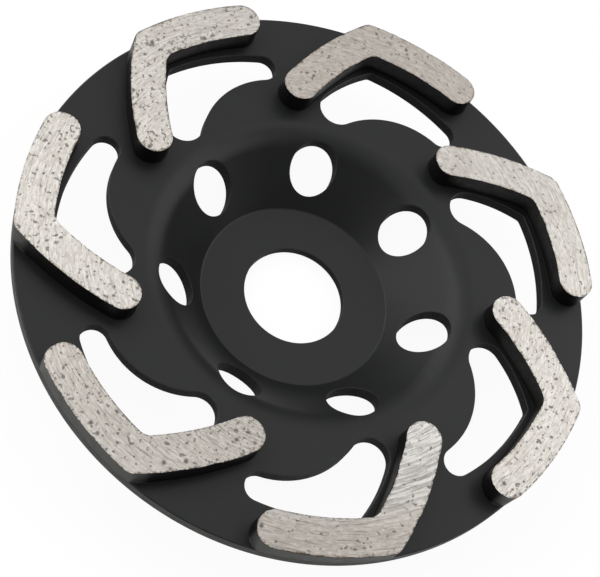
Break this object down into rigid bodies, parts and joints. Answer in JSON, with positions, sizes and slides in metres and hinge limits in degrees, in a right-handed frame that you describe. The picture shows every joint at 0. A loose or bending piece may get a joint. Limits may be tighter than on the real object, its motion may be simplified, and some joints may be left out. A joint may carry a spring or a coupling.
{
  "type": "diamond cup grinding wheel",
  "caption": "Pressed steel cup wheel with a dished hub, curved windows and vent holes, carrying bent diamond segments on the flat front of its rim.",
  "frame": {"origin": "on the bore axis, in the plane of the hub's back face", "axes": "+Z along the bore axis, out of the grinding side; +X through the middle of a vent hole; +Y completes a right-handed frame"},
  "size_m": [0.1243, 0.1244, 0.0198],
  "materials": {
    "cup_paint": "satin black paint on pressed steel",
    "segment": "sintered metal and diamond, ground bare on the working face, painted black on the sides"
  },
  "bodies": {
    "root": {"cup_body": "cup_paint", "segment_1": "segment", "segment_2": "segment", "segment_3": "segment", "segment_4": "segment", "segment_5": "segment", "segment_6": "segment", "segment_7": "segment"}
  },
  "joints": []
}
